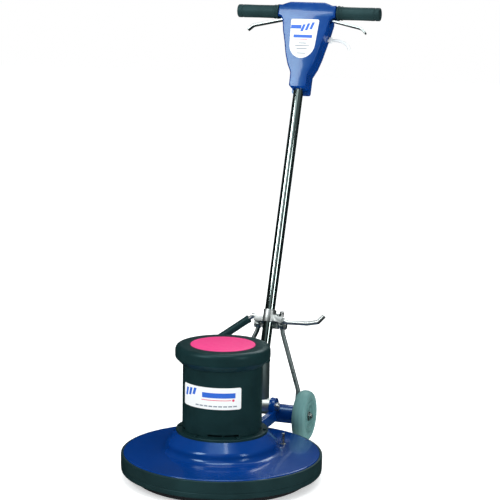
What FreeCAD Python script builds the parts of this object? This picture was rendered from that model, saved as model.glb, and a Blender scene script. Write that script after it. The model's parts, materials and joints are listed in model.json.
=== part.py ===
"""Rotary floor machine: a 17-inch class scrubber and polisher with a planetary gearbox.

Frame: millimetres, origin on the floor under the spindle, +Z up, operator behind at +Y,
right-hand wheel at +X. The handle parts are drawn upright in a frame of their own, whose
origin is the handle's hinge and whose +Z runs up the tube, and are then leaned back.
"""
import FreeCAD, Part
import math
import os
import re

import Sketcher

DIMENSIONS = {
    # deck casting and bumper
    "deck_radius": 231, "deck_rim_top": 62, "deck_skirt_bottom": 24, "deck_wall": 5,
    "deck_crown": 69, "dome_radius": 132, "dome_top": 112, "dome_wall": 6,
    "dome_rounding": 14, "rim_rounding": 3,
    "gear_boss_radius": 84, "gear_boss_bottom": 72, "spigot_radius": 30,
    "bumper_radius": 237, "bumper_bottom": 18, "bumper_top": 60, "bumper_lip": 7,
    "bumper_rounding": 5,
    # pad drive
    "driver_radius": 212, "pad_thickness": 28, "block_top": 46,
    "clutch_radius": 50, "clutch_thickness": 6, "drive_shaft_radius": 10,
    "block_bore_radius": 20,
    # planetary gears
    "gear_module": 1.25, "sun_teeth": 12, "planet_teeth": 48, "ring_teeth": 108,
    "planet_count": 3, "gear_bottom": 79, "planet_width": 18, "ring_bottom": 78,
    "ring_width": 20, "tooth_play": 0.2, "tooth_head": 0.8, "tooth_foot": 1.15,
    "ring_outer_radius": 78, "planet_pin_radius": 5, "running_fit": 0.05,
    "carrier_radius": 56, "carrier_bottom": 74, "carrier_thickness": 4,
    "gear_cover_thickness": 6, "cover_hub_radius": 30, "cover_hub_bottom": 58,
    "deck_screw_radius": 2.5, "deck_screw_head": 4.5, "cover_screw_circle": 81,
    # bearings
    "bearing_radius": 23.5, "bearing_width": 14, "lower_bearing_bottom": 108,
    "upper_bearing_bottom": 250,
    # motor
    "flange_radius": 108, "flange_thickness": 6, "bell_radius": 80, "bell_step": 6,
    "shell_top": 250, "shell_thickness": 4, "stator_bottom": 142, "stator_top": 216,
    "stator_bore_radius": 45, "winding_radius": 70, "winding_height": 10,
    "rotor_radius": 44, "upper_bell_top": 264, "shaft_top": 288,
    "fan_bottom": 268, "fan_radius": 72, "fan_thickness": 12, "fan_blades": 9,
    # motor cover and cap
    "cover_radius": 93.4, "cover_wall": 3, "cover_top": 290, "vent_bottom": 121,
    "vent_height": 5, "vent_length": 34, "vent_gap": 4,
    "cap_radius": 111.5, "cap_top": 319, "cap_lip_bottom": 275, "cap_wall": 3.5,
    "cap_rounding": 13, "cap_lip_rounding": 8, "badge_radius": 75.7, "badge_recess": 1.5,
    "label_bottom": 186, "label_height": 51, "label_thickness": 0.5, "label_angle": 95,
    "label_turn": -137.5,
    "flange_screw_circle": 101,
    # capacitor box behind the motor
    "capacitor_radius": 23, "capacitor_x": 47, "capacitor_y": 134, "capacitor_bottom": 162,
    "capacitor_top": 252, "capacitor_lid": 7,
    # feed nipple on the deck
    "nipple_x": 126, "nipple_y": 78, "nipple_radius": 4, "nipple_collar_radius": 6.8, "nipple_top": 97,
    # rear truck, axle and wheels
    "axle_y": 287, "axle_z": 84, "axle_radius": 6.35, "axle_boss_radius": 23,
    "axle_boss_end": 88, "arm_inner": 36, "arm_width": 13, "ear_radius": 22,
    "truck_floor": 71, "truck_front": 98, "truck_bolt_y": 142, "truck_bolt_radius": 5,
    "wheel_radius": 63.5, "wheel_width": 32, "wheel_inner": 96.8, "hub_radius": 44,
    "wheel_recess_radius": 27, "wheel_recess": 6, "tread_rounding": 9,
    "axle_nut_radius": 9.5, "axle_nut_length": 8,
    # handle hinge and tube
    "lean": 20.6, "hinge_y": 256.5, "hinge_z": 108, "hinge_pin_radius": 6.35,
    "foot_hub_radius": 19, "foot_socket_radius": 17.5, "foot_height": 48, "tube_start": 16,
    "tube_radius": 12.7, "tube_wall": 1.8, "tube_end": 880, "side_play": 1,
    "pin_head_radius": 10, "pin_head": 7,
    # handle head
    "head_front": 20, "head_seam": 15, "head_back": 34, "head_top": 1045,
    "head_shoulder": 63, "head_shoulder_z": 998, "head_rounding": 5,
    "neck_half": 23, "neck_bottom": 816, "rear_neck_bottom": 808, "back_cover": 10,
    "cavity_depth": 16,
    "bar_radius": 11.1, "bar_z": 1022.5, "bar_end": 187, "collar_radius": 18,
    "collar_end": 77, "grip_radius": 17, "grip_start": 78.5, "grip_end": 192,
    "grip_flange_radius": 19.5, "grip_flange": 4,
    "decal_thickness": 0.6,
    # switch levers and interlock button
    "lever_pin_x": 52, "lever_pin_z": 1001.5, "lever_pin_radius": 3, "lever_half_width": 7,
    "lever_bar": 4, "slot_play": 0.6,
    "button_width": 39, "button_depth": 14, "button_x": 1.5, "button_proud": 3,
    "button_height": 8,
    # cord hook and gland
    "hook_x": 43, "hook_y": 24.5, "hook_z": 957, "hook_radius": 4,
    "gland_z": 906, "gland_radius": 6.5, "gland_length": 22,
    # height clamp, braces, lock lever and lift grip
    "clamp_bottom": 209, "clamp_height": 31, "clamp_radius": 17, "clamp_wing": 35,
    "cross_y": 21.5, "cross_z": 204.8, "cross_radius": 5, "cross_half": 38,
    "brace_radius": 5.5, "brace_top_x": 31, "brace_foot_x": 91, "brace_eye": 4.4,
    "lock_x": 33, "lock_z": 216, "lock_radius": 5.5, "lock_pin_radius": 3,
    "lift_radius": 10.2, "lift_core_radius": 5, "lift_length": 118, "lift_angle": 128,
    "lift_x": -41, "lift_z": 222,
}

V = FreeCAD.Vector
X_AXIS = V(1, 0, 0)
Y_AXIS = V(0, 1, 0)
Z_AXIS = V(0, 0, 1)
SIDES = {"left": -1, "right": 1}

doc = FreeCAD.newDocument("rotary_floor_machine")
sheet = doc.addObject("Spreadsheet::Sheet", "dims")
for row, (alias, size) in enumerate(DIMENSIONS.items(), start=1):
    sheet.set(f"A{row}", alias)
    sheet.set(f"B{row}", str(size))
    sheet.setAlias(f"B{row}", alias)
doc.recompute()

sub_parts = []


def dim(alias):
    """The number that the sheet holds under an alias."""
    return float(sheet.get(alias))


def bound(text):
    """A size written with aliases, as a FreeCAD expression on the sheet."""
    return re.sub(r"[a-z][a-z_]*", lambda word: "dims." + word.group(), str(text))


def bind(item, **sizes):
    """Bind an object's properties to sizes written with aliases."""
    for prop, size in sizes.items():
        item.setExpression(prop, bound(size))
    return item


def put(item, place, turn=None):
    """Bind an object's position, after turning it to its direction."""
    if turn:
        item.Placement = FreeCAD.Placement(V(), turn)
    for axis, size in zip("xyz", place):
        item.setExpression(f"Placement.Base.{axis}", bound(size))
    return item


def sub_part(label, item):
    """Name a finished sub-part; its label is its node and its file."""
    item.Label = label
    sub_parts.append(item)
    return item


ALONG_X = FreeCAD.Rotation(Y_AXIS, 90)
ALONG_MINUS_X = FreeCAD.Rotation(Y_AXIS, -90)
ALONG_Y = FreeCAD.Rotation(X_AXIS, -90)
HANDLE_FRAME = FreeCAD.Placement(V(0, dim("hinge_y"), dim("hinge_z")),
                                 FreeCAD.Rotation(X_AXIS, -dim("lean")))


def cylinder(radius, height, place=(0, 0, 0), turn=None):
    """A cylinder bound to the sheet, standing on place, turned from +Z."""
    rod = doc.addObject("Part::Cylinder", "rod")
    return put(bind(rod, Radius=radius, Height=height), place, turn)


def box(length, width, height, place):
    """A box bound to the sheet, with its low corner at place."""
    block = doc.addObject("Part::Box", "block")
    return put(bind(block, Length=length, Width=width, Height=height), place)


def fuse(*items):
    """Join overlapping objects into one solid."""
    joined = doc.addObject("Part::MultiFuse", "joined")
    joined.Shapes = list(items)
    joined.Refine = True
    return joined


def group(*items):
    """Identical pieces kept as separate solids of one object."""
    together = doc.addObject("Part::Compound", "together")
    together.Links = list(items)
    return together


def moved(item, placement):
    """An item carried to another placement as a whole."""
    carried = group(item)
    carried.Placement = placement
    return carried


def lean(item):
    """Lean a handle part back from its upright drawing position."""
    return moved(item, HANDLE_FRAME)


def about_z(item, angle):
    """An item turned about the machine's vertical axis."""
    return moved(item, FreeCAD.Placement(V(), FreeCAD.Rotation(Z_AXIS, angle)))


def cut(base, *tools):
    """Take tools away from a base, one after another."""
    for tool in tools:
        rest = doc.addObject("Part::Cut", "rest")
        rest.Base = base
        rest.Tool = tool
        base = rest
    return base


def tube(outer, inner, height, place=(0, 0, 0), turn=None):
    """A cylinder with a bore right through it."""
    return cut(cylinder(outer, height, place, turn), cylinder(inner, height, place, turn))


def around(item_maker, count, circle, first=0.0):
    """Copies of an item on a circle about +Z; item_maker gets x and y as sizes."""
    items = []
    for number in range(count):
        angle = math.radians(first + 360.0 * number / count)
        items.append(item_maker(f"{circle} * {math.cos(angle):.6f}", f"{circle} * {math.sin(angle):.6f}"))
    return items


def outline_sketch(body, points):
    """A closed outline on the body's XZ plane, each corner bound to the sheet."""
    plane = next(item for item in body.Origin.OriginFeatures if item.Role == "XZ_Plane")
    sketch = body.newObject("Sketcher::SketchObject", "outline")
    sketch.AttachmentSupport = [(plane, "")]
    sketch.MapMode = "FlatFace"
    count = len(points)
    start = [V(100 * math.cos(2 * math.pi * i / count), 100 * math.sin(2 * math.pi * i / count), 0)
             for i in range(count)]
    for corner in range(count):
        sketch.addGeometry(Part.LineSegment(start[corner], start[(corner + 1) % count]), False)
    for corner in range(count):
        sketch.addConstraint(Sketcher.Constraint("Coincident", corner, 2, (corner + 1) % count, 1))
    for corner, place in enumerate(points):
        for kind, size, now in zip(("DistanceX", "DistanceY"), place, start[corner]):
            number = sketch.addConstraint(Sketcher.Constraint(kind, -1, 1, corner, 1, now))
            sketch.setExpression(f"Constraints[{number}]", bound(size))
    doc.recompute()
    return sketch


def round_edges(body, feature, radius, wanted):
    """Round those edges of a body's last feature that wanted() picks."""
    doc.recompute()
    names = [f"Edge{number}" for number, edge in enumerate(feature.Shape.Edges, start=1) if wanted(edge)]
    rounding = body.newObject("PartDesign::Fillet", "rounding")
    rounding.Base = (feature, names)
    bind(rounding, Radius=radius)
    return rounding


def circle_at(radius, height):
    """Picks the circular edge about +Z of this radius and height."""
    def wanted(edge):
        if not hasattr(edge, "Curve") or not isinstance(edge.Curve, Part.Circle):
            return False
        return abs(edge.Curve.Radius - radius) < 0.01 and abs(edge.Curve.Center.z - height) < 0.01
    return wanted


def turned(points, roundings=()):
    """A turned body: an outline of (radius, height) corners, revolved, then rounded."""
    body = doc.addObject("PartDesign::Body", "turned")
    revolution = body.newObject("PartDesign::Revolution", "revolution")
    revolution.Profile = outline_sketch(body, points)
    revolution.ReferenceAxis = (revolution.Profile[0], ["V_Axis"])
    revolution.Angle = 360
    doc.recompute()
    feature = revolution
    for radius, height, size in roundings:
        feature = round_edges(body, feature, size, circle_at(radius, height))
    body.Tip = feature
    return body


def plate(points, front, back, rounding=None, round_front=False):
    """A body padded from an (x, z) outline, from y = -front to y = back."""
    body = doc.addObject("PartDesign::Body", "plate")
    pad = body.newObject("PartDesign::Pad", "pad")
    pad.Profile = outline_sketch(body, points)
    pad.SideType = "Two sides"
    bind(pad, Length=front, Length2=back)
    doc.recompute()
    feature = pad
    if rounding:
        front_y = min(vertex.Point.y for vertex in pad.Shape.Vertexes)

        def wanted(edge):
            ends = [vertex.Point for vertex in edge.Vertexes]
            upright = abs(ends[0].y - ends[1].y) > 0.1
            return upright or (round_front and abs(ends[0].y - front_y) < 0.01)
        feature = round_edges(body, pad, rounding, wanted)
    body.Tip = feature
    return body


def mirrored(points):
    """A right-hand half outline, from top to bottom, completed by its left half."""
    return points + [(f"-({across})", up) for across, up in reversed(points)]


def rod_path(points, radius):
    """A round bar through points: cylinders with balls at the bends."""
    pieces = []
    for start, end in zip(points, points[1:]):
        run = V(*end) - V(*start)
        rod = doc.addObject("Part::Cylinder", "run")
        rod.Height = run.Length
        rod.Placement = FreeCAD.Placement(V(*start), FreeCAD.Rotation(Z_AXIS, run))
        pieces.append(bind(rod, Radius=radius))
    for bend in points[1:-1]:
        ball = doc.addObject("Part::Sphere", "bend")
        ball.Placement.Base = V(*bend)
        pieces.append(bind(ball, Radius=radius))
    return fuse(*pieces)


# ---------------------------------------------------------------- deck, bumper and truck

DECK_OUTSIDE = [
    ("dome_radius - dome_wall * 4", "dome_top"), ("dome_radius", "dome_top - dome_wall * 4"),
    ("dome_radius", "deck_crown"), ("deck_radius", "deck_rim_top"), ("deck_radius", "deck_skirt_bottom"),
]


def make_deck():
    """The deck casting: skirt, crowned top, dome and the boss that holds the ring gear."""
    inside = [
        ("deck_radius - deck_wall", "deck_skirt_bottom"),
        ("deck_radius - deck_wall", "deck_rim_top - deck_wall"),
        ("dome_radius - dome_wall", "deck_crown - deck_wall"),
        ("dome_radius - dome_wall", "dome_top - dome_wall * 4.5"),
        ("dome_radius - dome_wall * 4.5", "dome_top - dome_wall"),
        ("gear_boss_radius", "dome_top - dome_wall"), ("gear_boss_radius", "gear_boss_bottom"),
        ("ring_outer_radius", "gear_boss_bottom"), ("ring_outer_radius", "dome_top - dome_wall"),
        ("spigot_radius", "dome_top - dome_wall"), ("spigot_radius", "dome_top"),
    ]
    deck = turned(DECK_OUTSIDE + inside, [
        (dim("dome_radius"), dim("dome_top") - 4 * dim("dome_wall"), "dome_rounding"),
        (dim("dome_radius"), dim("deck_crown"), "dome_rounding"),
        (dim("deck_radius"), dim("deck_rim_top"), "rim_rounding"),
    ])
    return deck


def make_bumper():
    """The rubber bumper round the skirt, with a lip under it."""
    inner = "deck_radius"
    lip = "deck_radius - bumper_lip"
    return turned([
        (lip, "bumper_bottom"), ("bumper_radius", "bumper_bottom"), ("bumper_radius", "bumper_top"),
        (inner, "bumper_top"), (inner, "deck_skirt_bottom"), (lip, "deck_skirt_bottom"),
    ], [(dim("bumper_radius"), dim("bumper_bottom"), "bumper_rounding"),
        (dim("bumper_radius"), dim("bumper_top"), "bumper_rounding")])


def deck_envelope():
    """Everything inside the deck's outer surface, to fit other parts on it."""
    return turned([(0, "dome_top")] + DECK_OUTSIDE + [(0, "deck_skirt_bottom")], [
        (dim("dome_radius"), dim("dome_top") - 4 * dim("dome_wall"), "dome_rounding"),
        (dim("dome_radius"), dim("deck_crown"), "dome_rounding"),
        (dim("deck_radius"), dim("deck_rim_top"), "rim_rounding")])


def make_truck():
    """Two arms from the dome back to the axle bosses, with the handle's ears and a web."""
    envelope = deck_envelope()
    arm_length = "axle_y - truck_front"
    pieces = [box("(arm_inner + arm_width) * 2", "truck_bolt_y + 22 - truck_front", "22",
                  ("-(arm_inner + arm_width)", "truck_front", "truck_floor"))]
    for side in SIDES.values():
        low = "arm_inner" if side > 0 else "-(arm_inner + arm_width)"
        pieces.append(box("arm_width", arm_length, "28", (low, "truck_front", "truck_floor")))
        boss_start = "arm_inner" if side > 0 else "-axle_boss_end"
        pieces.append(cylinder("axle_boss_radius", "axle_boss_end - arm_inner",
                               (boss_start, "axle_y", "axle_z"), ALONG_X))
        pieces.append(cylinder("ear_radius", "arm_width", (low, "hinge_y", "hinge_z"), ALONG_X))
    body = fuse(*pieces)
    axle_hole = cylinder("axle_radius", "axle_boss_end * 2", ("-axle_boss_end", "axle_y", "axle_z"), ALONG_X)
    pin_hole = cylinder("hinge_pin_radius", "axle_boss_end * 2",
                        ("-axle_boss_end", "hinge_y", "hinge_z"), ALONG_X)
    return body, [envelope, axle_hole, pin_hole]


def make_truck_bolts():
    """Four cap screws that hold the truck down on the deck."""
    bolts = []
    for across in (-26, 26):
        for back in (0, 14):
            place = (str(across), f"truck_bolt_y + {back - 4}", "truck_floor + 12")
            head = (str(across), f"truck_bolt_y + {back - 4}", "truck_floor + 22")
            bolts.append(fuse(cylinder("truck_bolt_radius - 2", "10", place),
                              cylinder("truck_bolt_radius", "6", head)))
    return group(*bolts)


def make_deck_screws():
    """Twelve identical screws: six up through the gear cover, six down through the flange."""
    lower = around(lambda x, y: fuse(
        cylinder("deck_screw_radius", "16", (x, y, "gear_boss_bottom - gear_cover_thickness")),
        cylinder("deck_screw_head", "3", (x, y, "gear_boss_bottom - gear_cover_thickness - 3"))),
        6, "cover_screw_circle")
    upper = around(lambda x, y: fuse(
        cylinder("deck_screw_radius", "16", (x, y, "dome_top + flange_thickness - 16")),
        cylinder("deck_screw_head", "3", (x, y, "dome_top + flange_thickness"))),
        6, "flange_screw_circle", 12.0)
    return group(*lower, *upper)


deck_screws = sub_part("deck_screws", make_deck_screws())
sub_part("deck_housing", cut(make_deck(), deck_screws))
sub_part("bumper", make_bumper())
truck_bolts = sub_part("truck_bolts", make_truck_bolts())
truck_body, truck_cuts = make_truck()
sub_part("rear_truck", cut(truck_body, *truck_cuts, truck_bolts))
sub_part("feed_nipple", cut(fuse(
    cylinder("nipple_radius", "nipple_top - deck_crown", ("nipple_x", "nipple_y", "deck_crown")),
    cylinder("nipple_collar_radius", "5", ("nipple_x", "nipple_y", "deck_crown - 2"))), deck_envelope()))


# ---------------------------------------------------------------- gears and pad drive

PRESSURE_ANGLE = math.radians(20)
FLANK_STEPS = 5
UNDERCUT = 0.1


def involute(angle):
    return math.tan(angle) - angle


def gear_outline(teeth, inner, outer, play, first_angle):
    """Corners of a spur gear's outline with flat-faced involute teeth."""
    pitch_radius = dim("gear_module") * teeth / 2
    base_radius = pitch_radius * math.cos(PRESSURE_ANGLE)
    half_tooth = math.pi / (2 * teeth) - play / (2 * pitch_radius) + involute(PRESSURE_ANGLE)
    flank = []
    for step in range(FLANK_STEPS + 1):
        radius = inner + (outer - inner) * step / FLANK_STEPS
        slope = math.acos(min(1.0, base_radius / radius))
        under = UNDERCUT * max(0.0, base_radius - radius)
        flank.append((radius, half_tooth - involute(slope) - under))
    corners = []
    for tooth in range(teeth):
        middle = first_angle + 2 * math.pi * tooth / teeth
        sides = [(radius, middle - half) for radius, half in flank]
        sides += [(radius, middle + half) for radius, half in reversed(flank)]
        corners += [V(radius * math.cos(angle), radius * math.sin(angle), 0) for radius, angle in sides]
    return corners + corners[:1]


def gear_prism(corners, bottom, height):
    face = Part.Face(Part.makePolygon(corners))
    prism = face.extrude(V(0, 0, height))
    prism.translate(V(0, 0, bottom))
    return prism


def shape_feature(label, shape, placement=None):
    """A sub-part whose shape is made from the sheet's sizes by Part's own functions."""
    feature = doc.addObject("Part::Feature", label)
    feature.Shape = shape
    if placement:
        feature.Placement = placement
    return sub_part(label, feature)


def make_ring_gear():
    """The internal ring gear, pressed into the deck's boss."""
    teeth = int(dim("ring_teeth"))
    pitch_radius = dim("gear_module") * teeth / 2
    spaces = gear_outline(teeth, pitch_radius - dim("gear_module") * dim("tooth_head"),
                          pitch_radius + dim("gear_module") * dim("tooth_foot"),
                          -dim("tooth_play"), math.pi / teeth)
    blank = Part.makeCylinder(dim("ring_outer_radius"), dim("ring_width"), V(0, 0, dim("ring_bottom")))
    return blank.cut(gear_prism(spaces, dim("ring_bottom"), dim("ring_width")))


def planet_shape():
    """A planet gear about its own axis, bored for its pin, with a space towards the sun."""
    teeth = int(dim("planet_teeth"))
    pitch_radius = dim("gear_module") * teeth / 2
    corners = gear_outline(teeth, pitch_radius - dim("gear_module") * dim("tooth_foot"),
                           pitch_radius + dim("gear_module") * dim("tooth_head"),
                           dim("tooth_play"), math.pi / teeth)
    blank = gear_prism(corners, dim("gear_bottom"), dim("planet_width"))
    bore = Part.makeCylinder(dim("planet_pin_radius") + dim("running_fit"), dim("planet_width"),
                             V(0, 0, dim("gear_bottom")))
    return blank.cut(bore)


def make_rotor_shaft():
    """The motor shaft with its 12-tooth sun pinion cut on the lower end."""
    teeth = int(dim("sun_teeth"))
    pitch_radius = dim("gear_module") * teeth / 2
    corners = gear_outline(teeth, pitch_radius - dim("gear_module") * dim("tooth_foot"),
                           pitch_radius + dim("gear_module") * dim("tooth_head"),
                           dim("tooth_play"), 0.0)
    pinion_top = dim("gear_bottom") + dim("planet_width") + 3
    pinion = gear_prism(corners, dim("gear_bottom"), pinion_top - dim("gear_bottom"))
    shaft = Part.makeCylinder(dim("drive_shaft_radius"), dim("shaft_top") - pinion_top, V(0, 0, pinion_top))
    return pinion.fuse(shaft)


shape_feature("ring_gear", make_ring_gear())
planet_circle = dim("gear_module") * (dim("sun_teeth") + dim("planet_teeth")) / 2
for number in range(int(dim("planet_count"))):
    turn = FreeCAD.Rotation(Z_AXIS, 360.0 * number / dim("planet_count"))
    shape_feature(f"planet_gear_{number + 1}", planet_shape(),
                  FreeCAD.Placement(turn.multVec(V(planet_circle, 0, 0)), turn))
shape_feature("rotor_shaft", make_rotor_shaft())

CARRIER_TOP = "carrier_bottom + carrier_thickness"
pins = around(lambda x, y: cylinder("planet_pin_radius", "planet_width + 5", (x, y, CARRIER_TOP)),
              int(dim("planet_count")), "gear_module * (sun_teeth + planet_teeth) / 2")
sub_part("planet_carrier", fuse(
    cylinder("carrier_radius", "carrier_thickness", (0, 0, "carrier_bottom")),
    cylinder("drive_shaft_radius", "carrier_bottom - block_top", (0, 0, "block_top")), *pins))

gear_cover_blank = turned([
    ("bearing_radius", "cover_hub_bottom"), ("cover_hub_radius", "cover_hub_bottom"),
    ("cover_hub_radius", "gear_boss_bottom - gear_cover_thickness"),
    ("gear_boss_radius + 3", "gear_boss_bottom - gear_cover_thickness"),
    ("gear_boss_radius + 3", "gear_boss_bottom"), ("bearing_radius", "gear_boss_bottom")])
sub_part("gear_cover", cut(gear_cover_blank, deck_screws))
sub_part("clutch_plate", tube("clutch_radius", "drive_shaft_radius", "clutch_thickness",
                              (0, 0, "block_top")))
sub_part("pad_driver", tube("driver_radius", "block_bore_radius", "block_top - pad_thickness",
                            (0, 0, "pad_thickness")))
sub_part("floor_pad", cylinder("driver_radius - 4", "pad_thickness"))


def make_bearings():
    """Three identical ball bearings: output shaft, rotor bottom and rotor top."""
    seats = ("cover_hub_bottom", "lower_bearing_bottom", "upper_bearing_bottom")
    return group(*[tube("bearing_radius", "drive_shaft_radius + running_fit", "bearing_width", (0, 0, seat))
                   for seat in seats])


sub_part("shaft_bearings", make_bearings())


# ---------------------------------------------------------------- motor

FLANGE_TOP = "dome_top + flange_thickness"
BELL_TOP = "dome_top + flange_thickness + bell_step"


def make_flange():
    """The motor's lower end bell: spigot in the dome, wide flange and shell seat."""
    return turned([
        ("bearing_radius", "dome_top - dome_wall"), ("spigot_radius", "dome_top - dome_wall"),
        ("spigot_radius", "dome_top"), ("flange_radius", "dome_top"), ("flange_radius", FLANGE_TOP),
        ("bell_radius", FLANGE_TOP), ("bell_radius", BELL_TOP), ("bearing_radius", BELL_TOP)],
        [(dim("flange_radius"), dim("dome_top") + dim("flange_thickness"), "rim_rounding - 1")])


def make_upper_bell():
    """The motor's upper end bell with its bearing seat."""
    return turned([
        ("bearing_radius", "shell_top"), ("bell_radius", "shell_top"), ("bell_radius", "shell_top + 5"),
        ("cover_hub_radius", "upper_bell_top"), ("bearing_radius", "upper_bell_top")])


def make_fan():
    """The cooling fan on the shaft's top end: a disc with radial blades."""
    disc = cylinder("fan_radius", "2", (0, 0, "fan_bottom"))
    hub = cylinder("drive_shaft_radius * 2", "fan_thickness", (0, 0, "fan_bottom"))
    blades = []
    for number in range(int(dim("fan_blades"))):
        blade = box("fan_radius - drive_shaft_radius * 1.5", "2", "fan_thickness",
                    ("drive_shaft_radius * 1.5", -1, "fan_bottom"))
        blades.append(about_z(blade, 360.0 * number / dim("fan_blades")))
    bore = cylinder("drive_shaft_radius", "fan_thickness", (0, 0, "fan_bottom"))
    return cut(fuse(disc, hub, *blades), bore)


sub_part("motor_flange", cut(make_flange(), deck_screws))
sub_part("upper_end_bell", make_upper_bell())
sub_part("motor_shell", tube("bell_radius", "bell_radius - shell_thickness", "shell_top - dome_top - 12",
                             (0, 0, BELL_TOP)))
sub_part("stator", fuse(
    tube("bell_radius - shell_thickness", "stator_bore_radius", "stator_top - stator_bottom",
         (0, 0, "stator_bottom")),
    tube("winding_radius", "stator_bore_radius + 4", "stator_top - stator_bottom + winding_height * 2",
         (0, 0, "stator_bottom - winding_height"))))
sub_part("rotor_core", tube("rotor_radius", "drive_shaft_radius", "stator_top - stator_bottom",
                            (0, 0, "stator_bottom")))
sub_part("cooling_fan", make_fan())


# ---------------------------------------------------------------- motor cover and cap

def make_vents():
    """Pairs of slots low in the cover, four pairs round it."""
    slots = []
    for pair in range(4):
        for side in SIDES.values():
            start = "vent_gap / 2" if side > 0 else "-vent_gap / 2 - vent_length"
            slot = box("vent_length", "cover_radius", "vent_height",
                       (start, "-cover_radius * 1.2", "vent_bottom"))
            slots.append(about_z(slot, 22.0 + 90.0 * pair))
    return slots


def make_cover():
    """The motor cover: a drum with vent slots above the flange."""
    drum = tube("cover_radius", "cover_radius - cover_wall", "cover_top - dome_top - flange_thickness",
                (0, 0, FLANGE_TOP))
    return cut(drum, *make_vents())


def make_cap():
    """The mushroom cap: rounded shoulder, lip tucked in under it and a recess for the disc."""
    inside = "cap_radius - cap_wall"
    return turned([
        ("cover_radius", "cap_lip_bottom"), ("cap_radius", "cap_lip_bottom + 17"), ("cap_radius", "cap_top"),
        ("badge_radius", "cap_top"), ("badge_radius", "cap_top - badge_recess"),
        (0, "cap_top - badge_recess"), (0, "cap_top - cap_wall - badge_recess"),
        (inside, "cap_top - cap_wall - badge_recess"), (inside, "cap_lip_bottom + 19"),
        ("cover_radius", "cap_lip_bottom + 6")],
        [(dim("cap_radius"), dim("cap_top"), "cap_rounding"),
         (dim("cap_radius"), dim("cap_lip_bottom") + 17, "cap_lip_rounding")])


def make_label():
    """The wrap-round label on the front of the cover."""
    outer = cylinder("cover_radius + label_thickness", "label_height", (0, 0, "label_bottom"))
    inner = cylinder("cover_radius", "label_height", (0, 0, "label_bottom"))
    for sector in (outer, inner):
        bind(sector, Angle="label_angle")
    label = cut(outer, inner)
    label.Placement.Rotation = FreeCAD.Rotation(Z_AXIS, dim("label_turn"))
    return label


def make_capacitor_box():
    """The start capacitor's can: a drum with a saddle that meets the motor cover."""
    can = cylinder("capacitor_radius", "capacitor_top - capacitor_bottom",
                   ("capacitor_x", "capacitor_y", "capacitor_bottom"))
    neck = box("capacitor_radius * 1.2", "capacitor_radius * 2.2", "capacitor_top - capacitor_bottom - 24",
               ("capacitor_x - capacitor_radius", "capacitor_y - capacitor_radius * 2.4",
                "capacitor_bottom + 12"))
    return cut(fuse(can, neck), cylinder("cover_radius", "cap_top", (0, 0, 0)))


sub_part("motor_cover", make_cover())
sub_part("motor_cap", make_cap())
sub_part("cap_disc", cylinder("badge_radius", "badge_recess + 0.3", (0, 0, "cap_top - badge_recess")))
sub_part("cover_label", make_label())
sub_part("capacitor_box", make_capacitor_box())
sub_part("capacitor_lid", cylinder("capacitor_radius + 1", "capacitor_lid",
                                   ("capacitor_x", "capacitor_y", "capacitor_top")))


# ---------------------------------------------------------------- axle and wheels

def make_tyre():
    """A wheel's rubber tyre about +Z, its outer face up."""
    return turned([("hub_radius", 0), ("wheel_radius", 0), ("wheel_radius", "wheel_width"),
                   ("hub_radius", "wheel_width")],
                  [(dim("wheel_radius"), 0, "tread_rounding"),
                   (dim("wheel_radius"), dim("wheel_width"), "tread_rounding")])


def make_hub():
    """A wheel's moulded hub with a recess round the axle nut."""
    bore = "axle_radius + running_fit"
    return turned([(bore, 1), ("hub_radius", 1), ("hub_radius", "wheel_width - 1"),
                   ("wheel_recess_radius", "wheel_width - 1"),
                   ("wheel_recess_radius", "wheel_width - wheel_recess"),
                   (bore, "wheel_width - wheel_recess")])


for side_name, side in SIDES.items():
    turn = ALONG_X if side > 0 else ALONG_MINUS_X
    wheel_place = (f"{side} * wheel_inner", "axle_y", "axle_z")
    sub_part(f"tyre_{side_name}", put(make_tyre(), wheel_place, turn))
    sub_part(f"wheel_hub_{side_name}", put(make_hub(), wheel_place, turn))

axle_half = "wheel_inner + wheel_width + 1"
sub_part("axle", cylinder("axle_radius", f"2 * ({axle_half})",
                          (f"-({axle_half})", "axle_y", "axle_z"), ALONG_X))
nuts = []
for side, turn in ((1, ALONG_X), (-1, ALONG_MINUS_X)):
    nut_start = f"{side} * (wheel_inner + wheel_width - wheel_recess + 0.5)"
    nuts.append(cut(cylinder("axle_nut_radius", "axle_nut_length", (nut_start, "axle_y", "axle_z"), turn),
                    cylinder("axle_radius", "axle_nut_length", (nut_start, "axle_y", "axle_z"), turn)))
sub_part("axle_nuts", group(*nuts))


# ---------------------------------------------------------------- handle hinge and tube

def make_foot():
    """The handle's foot: a cross hub on the hinge pin and a socket for the tube."""
    half = "arm_inner - side_play"
    hub = cylinder("foot_hub_radius", f"2 * ({half})", (f"-({half})", 0, 0), ALONG_X)
    socket = cylinder("foot_socket_radius", "foot_height")
    pin_hole = cylinder("hinge_pin_radius + running_fit", f"2 * ({half})", (f"-({half})", 0, 0), ALONG_X)
    tube_hole = cylinder("tube_radius", "foot_height", (0, 0, "tube_start"))
    return cut(fuse(hub, socket), pin_hole, tube_hole)


def make_hinge_pin():
    """The hinge bolt through both ears, with its head and its nut."""
    half = "arm_inner + arm_width"
    shank = cylinder("hinge_pin_radius", f"2 * ({half})", (f"-({half})", "hinge_y", "hinge_z"), ALONG_X)
    head = cylinder("pin_head_radius", "pin_head", (f"-({half}) - pin_head", "hinge_y", "hinge_z"), ALONG_X)
    nut = cylinder("pin_head_radius", "pin_head", (half, "hinge_y", "hinge_z"), ALONG_X)
    return fuse(shank, head, nut)


sub_part("hinge_pin", make_hinge_pin())
sub_part("handle_foot", lean(make_foot()))
sub_part("handle_tube", lean(tube("tube_radius", "tube_radius - tube_wall", "tube_end - tube_start",
                                  (0, 0, "tube_start"))))


# ---------------------------------------------------------------- handle head

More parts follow.
